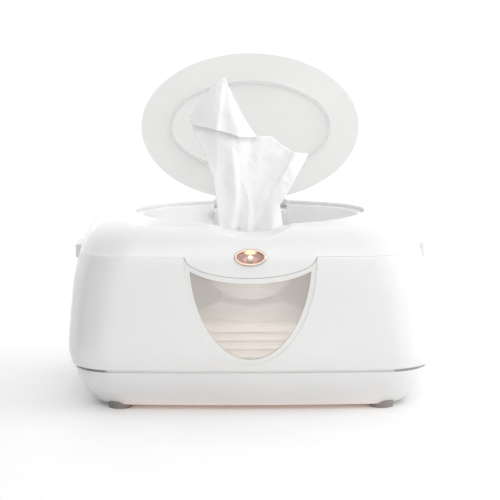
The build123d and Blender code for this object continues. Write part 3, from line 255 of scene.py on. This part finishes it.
# ---------------------------------------------------------------- night light
lamp_chrome = surface("rosy_chrome", (0.50, 0.38, 0.31), (0.58, 0.46, 0.39),
                      rough=(0.24, 0.32), grain=0.0008, depth=0.00001, Metallic=1.0)
lamp_bowl = surface("warm_reflector", (0.60, 0.22, 0.13), (0.70, 0.30, 0.19),
                    rough=(0.30, 0.36), grain=0.0012, depth=0.000002, Metallic=0.5)
lamp_bulb = surface("milky_lamp", (0.80, 0.78, 0.76), (0.90, 0.88, 0.86),
                    rough=(0.2, 0.3), grain=0.0008, depth=0.00001)
lamp_clear = surface("clear_lens", (0.95, 0.93, 0.9), (1.0, 0.98, 0.95),
                     rough=(0.02, 0.06), grain=0.002, depth=0.00001,
                     Alpha=0.16, Coat_Weight=1.0, Coat_Roughness=0.02)
lit_patch(lamp_bowl, nodes["lamp_reflector"], place=(0, -0.0840, 0.1168), reach=0.0052,
          colour=(1.0, 0.74, 0.26), strength=3.5)
lit_patch(lamp_bulb, nodes["lamp_led"], place=(0, -0.0860, 0.1164), reach=0.0056,
          colour=(1.0, 0.86, 0.55), strength=2.6)

# ---------------------------------------------------------------- wipes and pad
wipe_white = nonwoven("wipe_nonwoven", (0.88, 0.88, 0.88), (0.93, 0.93, 0.93))
wipe_moist = nonwoven("wipe_nonwoven_moist", (0.86, 0.855, 0.84), (0.92, 0.915, 0.905))
felt = surface("absorbent_felt", grey(0.72), grey(0.80), rough=(0.85, 0.95), grain=0.0008, depth=0.0003)

# ---------------------------------------------------------------- finishes on the pieces
finishes = {
    "outer_shell": white_gloss, "lid_shell": white_gloss, "throat_guide": white_gloss,
    "base_tray": base_gloss, "latch_button_left": button_plastic, "latch_button_right": button_plastic,
    "front_window": window_plastic, "flip_door": door_plastic, "door_seal": door_seal,
    "lid_gasket": seal_rubber, "inner_tub": tub_plastic, "lid_liner": liner_plastic,
    "heater_plate": aluminium, "heater_film": amber_film, "insulation_pad": fibre_mat,
    "thermostat": steel, "thermal_fuse": steel, "control_board": board_green,
    "lamp_board": board_green, "power_jack": black_plastic, "inner_wiring": red_wire,
    "lid_lead": red_wire, "rubber_feet": foot_rubber, "base_screws": steel,
    "board_screws": steel, "lid_screws": steel, "lid_hinge_pins": steel, "door_pin": steel,
    "contact_pads": brass, "contact_pins": brass, "lamp_bezel": lamp_chrome,
    "lamp_reflector": lamp_bowl, "lamp_led": lamp_bulb, "lamp_lens": lamp_clear,
}
for name, finish in finishes.items():
    slots = nodes[name].data.materials
    slots.clear()
    slots.append(finish)

# ---------------------------------------------------------------- narrow seams
# Narrow seams get painted light: faces that look at another piece close by glow a little, standing in for
# the light that piece passes on, so the seams stay pale.
seamed_pieces = ("outer_shell", "base_tray", "lid_shell")
near_pieces = (*seamed_pieces, "front_window", "flip_door", "throat_guide")
seam_width = 0.0022
ray_lift = 0.00002
toward_corner = 0.9


def search_tree(piece):
    """Search tree of a piece's faces, in the world's frame."""
    place = piece.matrix_world
    return BVHTree.FromPolygons([place @ vertex.co for vertex in piece.data.vertices],
                                [tuple(face.vertices) for face in piece.data.polygons])


def looks_into_seam(piece, face, others):
    """Whether something lies close in front of a face's middle or of a place near one of its corners."""
    outward = (piece.matrix_world.to_3x3() @ face.normal).normalized()
    corners = [face.center.lerp(piece.data.vertices[corner].co, toward_corner) for corner in face.vertices]
    for place in [face.center] + corners:
        start = piece.matrix_world @ place + outward * ray_lift
        if any(other.ray_cast(start, outward, seam_width)[0] is not None for other in others):
            return True
    return False


search_trees = {name: search_tree(nodes[name]) for name in near_pieces}
for name in seamed_pieces:
    piece = nodes[name]
    piece.data.materials.append(seam_painted_glow)
    others = [search_trees[other] for other in near_pieces if other != name]
    for face in piece.data.polygons:
        if looks_into_seam(piece, face, others):
            face.material_index = 1

# ---------------------------------------------------------------- window rim
# The window's thicker rim scatters more light. It is what lies outside the pane's line or inside the
# tongue's line. Seen from the front, both are half ellipses below one level, in millimetres.
rim_level = 113.0
pane_half_width = 43.3
pane_drop = 72.1
tongue_half_width = 51.0
tongue_drop = 18.7
window = nodes["front_window"]
window.data.materials.append(rim_plastic)
for face in window.data.polygons:
    centre = window.matrix_world @ face.center / MM
    drop = rim_level - centre.z
    round_pane = (centre.x / pane_half_width) ** 2 + (drop / pane_drop) ** 2
    round_tongue = (centre.x / tongue_half_width) ** 2 + (drop / tongue_drop) ** 2
    face.material_index = 1 if round_pane > 1.0 or round_tongue < 1.0 else 0


# ---------------------------------------------------------------- sheet tools
def metres(x, y, z):
    """A place in metres from millimetres."""
    return (x * MM, y * MM, z * MM)


def grid_mesh(name, points, material, closed=False):
    """Smooth mesh through a grid of points, points[row][column]; closed joins the ends of each row."""
    rows = len(points)
    columns = len(points[0])
    faces = []
    for row in range(rows - 1):
        for column in range(columns if closed else columns - 1):
            beside = (column + 1) % columns
            below = row * columns
            above = below + columns
            faces.append((below + column, below + beside, above + beside, above + column))
    mesh = bpy.data.meshes.new(name)
    mesh.from_pydata([tuple(point) for row in points for point in row], [], faces)
    mesh.materials.append(material)
    for polygon in mesh.polygons:
        polygon.use_smooth = True
    piece = bpy.data.objects.new(name, mesh)
    bpy.context.collection.objects.link(piece)
    return piece


def thickened(piece, thickness):
    """Gives a sheet its thickness as real geometry."""
    solid = piece.modifiers.new("thickness", "SOLIDIFY")
    solid.thickness = thickness
    solid.offset = 0.0
    bpy.context.view_layer.objects.active = piece
    piece.select_set(True)
    bpy.ops.object.modifier_apply(modifier=solid.name)
    piece.select_set(False)
    return piece


def along(points, share):
    """Point at a share of the length of a line through points."""
    line = np.array(points, float)
    steps = np.linalg.norm(np.diff(line, axis=0), axis=1)
    distance = share * steps.sum()
    step = int(min(np.searchsorted(np.cumsum(steps), distance), len(steps) - 1))
    part = (distance - steps[:step].sum()) / max(steps[step], TINY)
    return line[step] * (1 - part) + line[step + 1] * part


def smooth(share):
    """Smooth step from 0 to 1."""
    share = min(max(share, 0.0), 1.0)
    return share * share * (3 - 2 * share)


def bell(distance, width):
    """Smooth hump of height 1 round zero."""
    return math.exp(-(distance / width) ** 2)


def crumple(x, z, wave_x, wave_z, layer, height):
    """Unevenness with one size of wave, each in a noise layer of its own."""
    return noise.noise(Vector((x / wave_x, z / wave_z, layer))) * height


# ---------------------------------------------------------------- pulled wipe
# Lengths are in millimetres, and the outline is (x, z) as seen from the front. The flap is the wipe's
# corner, folded over to the front along the left part of the top edge.
throat_top = 112.0
wipe_bottom = 66.3
top_left = (-44.3, 202.5)
top_right = (43.0, 175.4)
fold_end = (4.6, 188.7)
left_edge = [(-21, wipe_bottom), (-21.5, 100), (-23.2, 121), (-24.2, 138), (-26.6, 156), (-34, 176),
             (-41.5, 190), top_left]
right_edge = [(21, wipe_bottom), (21.5, 100), (24.0, 121), (21.8, 137.6), (29.1, 148.8), (38.6, 167.2),
              top_right]
fold_line = [top_left, (-36, 214), (-27, 226), (-19.4, 232.6), (-17, 229), (-13.5, 221), (-7.6, 208),
             (0.5, 194), fold_end]
top_edge = fold_line + [(15.8, 188.7), (22, 183), (29.0, 178.3), (36, 176.6), top_right]
flap_edge = [(-44.3, 200.5), (-41.8, 195.6), (-33, 195.4), (-23.0, 193.6), (-14, 191.2), (-7.6, 189.0),
             (0, 188.2), fold_end]
wipe_thickness = 0.45
wipe_columns = 150
wipe_rows = 130
flap_columns = 70
flap_rows = 40

# How its surface lies: it is gathered in the throat, opens out above and leans to the front.
gathers = 3
gather_in_throat = 2.6
gather_above = 0.9
gather_sway = 0.9
gather_sway_height = 14
opening_height = 60
throat_y = -3.0
lean = 4.0
lean_height = 100
# The left panel turns back, left of a line up its side.
panel_line_x = -24
panel_slope = 0.75
panel_start = 125
panel_blend = 30
# A ridge runs up left of the middle and halves near the top, with a hollow at its right.
ridge_x = -10.0
ridge_width = 5.5
ridge_height = 3.4
ridge_loss = 0.5
ridge_loss_start = 175
ridge_loss_blend = 20
hollow_x = -1.0
hollow_width = 5.0
hollow_depth = 1.6
# A fold lies over the right side: a step along a slanting crease, with a groove beside it.
crease_foot = np.array((2.0, 121.0))
crease_head = np.array((31.5, 176.5))
crease_step = 4.2
crease_blend = 1.6
crease_slope = 0.42
groove_offset = -4.0
groove_width = 3.5
groove_depth = 2.2
crumple_in_throat = 0.35
# The flap bulges to the front below its fold and lies close to the wipe at its free edge. Its span is the
# share of the wipe's width that lies under it.
flap_bulge = 5.4
flap_bulge_share = 0.62
flap_end_share = 0.03
flap_lie = 1.2
flap_span = 0.6


def wipe_depth(x, z, across):
    """How far back the wipe's surface lies at a place in its front view."""
    rise = smooth((z - throat_top) / opening_height)
    gather = (1 - rise) * gather_in_throat + rise * gather_above
    y = throat_y - lean * smooth((z - throat_top) / lean_height)
    y += gather * math.sin(2 * math.pi * gathers * across + gather_sway * math.sin(z / gather_sway_height))
    y += rise * panel_slope * max(0.0, panel_line_x - x) * smooth((z - panel_start) / panel_blend)
    ridge_left = 1 - ridge_loss * smooth((z - ridge_loss_start) / ridge_loss_blend)
    y -= rise * ridge_height * bell(x - ridge_x, ridge_width) * ridge_left
    y += rise * hollow_depth * bell(x - hollow_x, hollow_width)
    line = crease_head - crease_foot
    normal = np.array((line[1], -line[0])) / np.linalg.norm(line)
    off = float(np.dot(np.array((x, z)) - crease_foot, normal))
    step = crease_step * smooth((off + crease_blend / 2) / crease_blend)
    y -= rise * (step - crease_slope * max(off, 0.0))
    y += rise * groove_depth * bell(off - groove_offset, groove_width)
    uneven = (crumple(x, z, wave_x=9, wave_z=11, layer=3.7, height=1.3)
              + crumple(x, z, wave_x=3.6, wave_z=4.4, layer=9.1, height=0.45))
    return y + uneven * (crumple_in_throat + (1 - crumple_in_throat) * rise)


def wipe_point(across, up):
    """Place between the wipe's four edges, at a share of its width and height, set back by its folds."""
    bottom = np.array((left_edge[0][0] + (right_edge[0][0] - left_edge[0][0]) * across, wipe_bottom))
    top = along(top_edge, across)
    left = along(left_edge, up)
    right = along(right_edge, up)
    corners = ((1 - across) * (1 - up) * np.array(left_edge[0]) + across * (1 - up) * np.array(right_edge[0])
               + (1 - across) * up * np.array(top_left) + across * up * np.array(top_right))
    x, z = (1 - up) * bottom + up * top + (1 - across) * left + across * right - corners
    return x, wipe_depth(x, z, across), z


def flap_point(across, down):
    """Corner of the wipe that hangs over its front: down runs from the fold to the free edge."""
    fold_x, fold_z = along(fold_line, across)
    free_x, free_z = along(flap_edge, across)
    x = fold_x + (free_x - fold_x) * down
    z = fold_z + (free_z - fold_z) * down
    inside = min(max(across, flap_end_share), 1 - flap_end_share)
    bulge = math.sin(math.pi * min(down, flap_bulge_share) / (2 * flap_bulge_share)) * flap_bulge
    bulge *= math.sin(math.pi * inside) ** 0.5
    fold_y = wipe_depth(fold_x, fold_z, across)
    free_y = wipe_depth(free_x, free_z, across * flap_span) - flap_lie
    uneven = (crumple(x, z, wave_x=8, wave_z=9, layer=1.3, height=0.8)
              + crumple(x, z, wave_x=3, wave_z=3.4, layer=5.2, height=0.3))
    return x, fold_y * (1 - down) + free_y * down - bulge + uneven * down, z


def point_grid(place, rows, columns):
    """Grid of points in metres from place(across, along), which takes shares and gives millimetres."""
    return [[metres(*place(column / columns, row / rows)) for column in range(columns + 1)]
            for row in range(rows + 1)]


wipe_grid = point_grid(wipe_point, wipe_rows, wipe_columns)
flap_grid = point_grid(flap_point, flap_rows, flap_columns)
# The sheet is split at the throat's top, because the closed door presses only what stands above it.
split = next(r for r, row in enumerate(wipe_grid) if row[wipe_columns // 2][2] > throat_top * MM)
lower_grid = wipe_grid[: split + 1]
upper_grid = wipe_grid[split:]
lower_wipe = grid_mesh("pulled_wipe_lower", lower_grid, wipe_white)
upper_wipe = grid_mesh("pulled_wipe_upper", upper_grid, wipe_white)
flap = grid_mesh("pulled_wipe_flap", flap_grid, wipe_white)
for piece, held, grid in ((lower_wipe, "gathered", lower_grid), (upper_wipe, "gathered", upper_grid),
                          (flap, "folded", flap_grid)):
    thickened(piece, wipe_thickness * MM)
    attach(piece, "lid")
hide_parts("pulled_wipe")

# The part above the throat and the flap each get a mesh of their own.
for piece in (upper_wipe, flap):
    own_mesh(piece)

# ---------------------------------------------------------------- stack of folded wipes
# Lengths are in millimetres. Each wipe's fold looks to the front or to the rear in turn.
stack_low = Vector(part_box("wipe_stack")[0])
stack_floor = stack_low.z / MM
stack_flat_top = 56.0
stack_half_width = 93.6
stack_half_depth = 55.0
fold_count = 9
pitch = (stack_flat_top - stack_floor) / fold_count
leaf_gap = 0.35
fold_inset = 1.5
fold_bulge = 0.8
leaf_steps = 23
fold_steps = 12
side_steps = 60
leaf_thickness = 0.6
sway_across = 0.5
sway_up = 0.32
sway_wave_x = 30
sway_wave_y = 35
sway_layer = 2.3
shift_back = 0.7
shift_wave_x = 22
shift_layer = 1.7


def folded_profile(number):
    """One wipe folded in half, seen from the side: lower leaf, rounded fold, upper leaf."""
    side = 1 if number % 2 else -1
    middle = stack_floor + (number + 0.5) * pitch
    half = pitch * 0.5 - leaf_gap
    reach = side * (stack_half_depth - fold_inset)
    leaf = [reach * (1 - 2 * step / leaf_steps) for step in range(leaf_steps + 1)]
    profile = [(-y, middle - half) for y in leaf]
    for step in range(1, fold_steps):
        turn = math.pi * step / fold_steps
        bulge = half * (1 + fold_bulge * math.sin(turn))
        profile.append((reach + side * bulge * math.sin(turn), middle - half * math.cos(turn)))
    return profile + [(y, middle + half) for y in leaf]


def folded_wipe(number):
    """Grid of a folded wipe's points, a little uneven from side to side."""
    profile = folded_profile(number)
    points = []
    for step in range(side_steps + 1):
        x = stack_half_width * (2 * step / side_steps - 1)
        row = []
        for y, z in profile:
            sway = noise.noise(Vector((x / sway_wave_x, y / sway_wave_y, number * sway_layer)))
            shift = noise.noise(Vector((x / shift_wave_x, number * shift_layer, z)))
            row.append(metres(x + sway_across * sway, y + shift_back * shift, z + sway_up * sway))
        points.append(row)
    return points


for number in range(fold_count):
    grid = folded_wipe(number)
    piece = thickened(grid_mesh(f"folded_wipe_{number + 1:02d}", grid, wipe_moist), leaf_thickness * MM)
    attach(piece, "housing")
    if number == 0:
        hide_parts("wipe_stack")

# ---------------------------------------------------------------- next wipe's tail
# An oval, in millimetres, that is wide on the stack and narrow under the throat, with gathers round it.
tail_columns = 144
tail_rows = 24
tail_thickness = 0.5
tail_lift = 0.6
tail_top = 65.8
tail_top_share = 1.02
tail_half_x = 20.5
tail_half_y = 4.3
tail_flare_x = 24
tail_flare_y = 32
tail_curve_x = 1.6
tail_curve_y = 2.2
large_ripples = 11
large_ripple_height = 0.055
large_ripple_twist = 2
large_ripple_growth = 1.4
small_ripples = 23
small_ripple_height = 0.03


def tail_point(turn, up):
    """Next wipe's middle, drawn up in gathers from the stack toward the throat."""
    flare = 1 - up
    half_x = tail_half_x + tail_flare_x * flare ** tail_curve_x
    half_y = tail_half_y + tail_flare_y * flare ** tail_curve_y
    rise = tail_top - stack_flat_top - tail_lift
    height = stack_flat_top + tail_lift + rise * smooth(up * tail_top_share)
    large = large_ripple_height * math.sin(large_ripples * turn + large_ripple_twist * up)
    small = small_ripple_height * math.sin(small_ripples * turn)
    ripple = 1 + large * smooth(up * large_ripple_growth) + small
    return half_x * ripple * math.cos(turn), half_y * ripple * math.sin(turn), height


tail_grid = [[metres(*tail_point(2 * math.pi * column / tail_columns, row / tail_rows))
              for column in range(tail_columns)] for row in range(tail_rows + 1)]
tail = thickened(grid_mesh("next_wipe_tail", tail_grid, wipe_moist, closed=True), tail_thickness * MM)
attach(tail, "housing")

# ---------------------------------------------------------------- moisture pad
# Rings in metres, each an inset from the outline and a height. They run from the underside round the
# edge to the top, where a stitched line lies inside the rim.
pad_low, pad_high = (Vector(corner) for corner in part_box("moisture_pad"))
pad_height = pad_high.z - pad_low.z
pad_corner_radius = 0.027
pad_ring_points = 96
pad_profile = (
    (0.012, pad_low.z),
    (0.0006, pad_low.z),
    (0.0, pad_low.z + 0.3 * pad_height),
    (0.0004, pad_low.z + 0.75 * pad_height),
    (0.0014, pad_high.z - 0.0001),
    (0.006, pad_high.z - 0.0002),
    (0.008, pad_high.z - 0.0009),
    (0.010, pad_high.z - 0.0002),
)


def corner_centre(half, direction):
    """Where a rounded corner's centre lies on one axis, or zero where the ring crosses that axis."""
    return math.copysign(half, direction) if abs(direction) > TINY else 0.0


def pad_ring(inset, height):
    """Rounded rectangle inside the pad's outline, at a height."""
    radius = pad_corner_radius - inset
    centre_x = pad_high.x - inset - radius
    centre_y = pad_high.y - inset - radius
    ring = []
    for point in range(pad_ring_points):
        turn = 2 * math.pi * point / pad_ring_points
        across = math.cos(turn)
        back = math.sin(turn)
        ring.append((corner_centre(centre_x, across) + radius * across,
                     corner_centre(centre_y, back) + radius * back, height))
    return ring


pad = grid_mesh("absorbent_pad", [pad_ring(*place) for place in pad_profile], felt, closed=True)
work = bmesh.new()
work.from_mesh(pad.data)
bmesh.ops.holes_fill(work, edges=[edge for edge in work.edges if edge.is_boundary], sides=0)
work.to_mesh(pad.data)
work.free()
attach(pad, "housing")
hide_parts("moisture_pad")


# ---------------------------------------------------------------- floor, backdrop, dark card
def stage_plane(name, corners, material):
    """Flat plane of the studio, which is no part of the object."""
    mesh = bpy.data.meshes.new(name)
    mesh.from_pydata(corners, [], [(0, 1, 2, 3)])
    mesh.materials.append(material)
    piece = bpy.data.objects.new(name, mesh)
    bpy.context.collection.objects.link(piece)
    return piece


studio_half_width = 6
floor_front = -4
floor_back = 6
backdrop_y = 2.6
backdrop_low = -0.5
backdrop_high = 4
card_x = -0.54
card_front = -0.75
card_back = 0.05
card_height = 0.4

floor_finish = surface("pale_floor", grey(0.86, 0.003), grey(0.88, 0.003),
                       rough=(0.55, 0.65), grain=0.004, depth=0.00002,
                       Emission_Color=(1, 1, 1, 1), Emission_Strength=0.05, Specular_IOR_Level=0.2)
back_finish = surface("pale_backdrop", grey(0.80, 0.003), grey(0.82, 0.003),
                      rough=(0.55, 0.65), grain=0.004, depth=0.00002,
                      Emission_Color=(1, 1, 1, 1), Emission_Strength=0.5, Specular_IOR_Level=0.2)
card_finish = surface("dark_card", grey(0.02), grey(0.03),
                      rough=(0.8, 0.9), grain=0.004, depth=0.00002, Specular_IOR_Level=0.0)
stage_plane("floor", [(-studio_half_width, floor_front, 0), (studio_half_width, floor_front, 0),
                      (studio_half_width, floor_back, 0), (-studio_half_width, floor_back, 0)], floor_finish)
stage_plane("backdrop", [(-studio_half_width, backdrop_y, backdrop_low),
                         (studio_half_width, backdrop_y, backdrop_low),
                         (studio_half_width, backdrop_y, backdrop_high),
                         (-studio_half_width, backdrop_y, backdrop_high)], back_finish)
# The dark card shades the object's left side. The camera doesn't see it.
card = stage_plane("dark_card", [(card_x, card_front, 0), (card_x, card_back, 0),
                                 (card_x, card_back, card_height), (card_x, card_front, card_height)],
                   card_finish)
card.visible_camera = False

# ---------------------------------------------------------------- surrounding light
strength_below = 0.68
strength_above = 0.95
world = bpy.data.worlds.new("studio")
world.use_nodes = True
sky = world.node_tree.nodes
sky_links = world.node_tree.links
sky["Background"].inputs["Color"].default_value = (1.0, 1.0, 1.0, 1)
direction = sky.new("ShaderNodeTexCoord")
axes = sky.new("ShaderNodeSeparateXYZ")
brighter_above = sky.new("ShaderNodeMapRange")
brighter_above.inputs["From Min"].default_value = -1.0
brighter_above.inputs["To Min"].default_value = strength_below
brighter_above.inputs["To Max"].default_value = strength_above
sky_links.new(direction.outputs["Generated"], axes.inputs["Vector"])
sky_links.new(axes.outputs["Z"], brighter_above.inputs["Value"])
sky_links.new(brighter_above.outputs["Result"], sky["Background"].inputs["Strength"])
bpy.context.scene.world = world
bpy.context.scene.view_settings.view_transform = "Standard"


# ---------------------------------------------------------------- lamps
def softbox(name, place, target, size, power, colour=(1, 1, 1)):
    """Rectangular light that shines from its place to a target and that the camera doesn't see.

    Its size is in metres and its power in watts.
    """
    light = bpy.data.lights.new(name, "AREA")
    light.shape = "RECTANGLE"
    light.size, light.size_y = size
    light.energy = power
    light.color = colour
    lamp = bpy.data.objects.new(name, light)
    lamp.location = place
    lamp.rotation_euler = (Vector(target) - Vector(place)).to_track_quat("-Z", "Y").to_euler()
    lamp.visible_camera = False
    bpy.context.collection.objects.link(lamp)


softbox("key_right", place=(1.6, -0.15, 0.70), target=(0, 0, 0.08), size=(0.9, 0.9), power=10)
softbox("front_top", place=(-0.1, -1.7, 1.7), target=(0, 0, 0.10), size=(1.4, 1.4), power=9)
# The night light's own light in the tub and behind the window, and the warm light under the front edge.
spill_colour = (1.0, 0.96, 0.91)
edge_colour = (1.0, 0.58, 0.36)
softbox("lamp_spill", place=(0, -0.050, 0.104), target=(0, -0.03, 0.04), size=(0.05, 0.02), power=0.018,
        colour=spill_colour)
softbox("window_spill", place=(0, -0.070, 0.042), target=(0, 0, 0.042), size=(0.08, 0.036), power=0.011,
        colour=spill_colour)
softbox("under_glow", place=(0, -0.070, 0.0015), target=(0, -0.070, 1), size=(0.19, 0.022), power=0.0035,
        colour=edge_colour)

# ---------------------------------------------------------------- camera
view_distance = 1.9
view_pitch = math.radians(10)
view_roll = math.radians(-0.2)
view_target = Vector((0, 0, 0.103))
camera_data = bpy.data.cameras.new("camera")
camera_data.lens = 184.8
camera_data.sensor_width = 36.0
camera_data.shift_x = -0.0008
camera_data.clip_end = 50
camera = bpy.data.objects.new("camera", camera_data)
back = Vector((0, -math.cos(view_pitch), math.sin(view_pitch)))
camera.matrix_world = (Matrix.Translation(view_target + back * view_distance)
                       @ Matrix.Rotation(math.pi / 2 - view_pitch, 4, "X")
                       @ Matrix.Rotation(view_roll, 4, "Z"))
bpy.context.collection.objects.link(camera)
bpy.context.scene.camera = camera
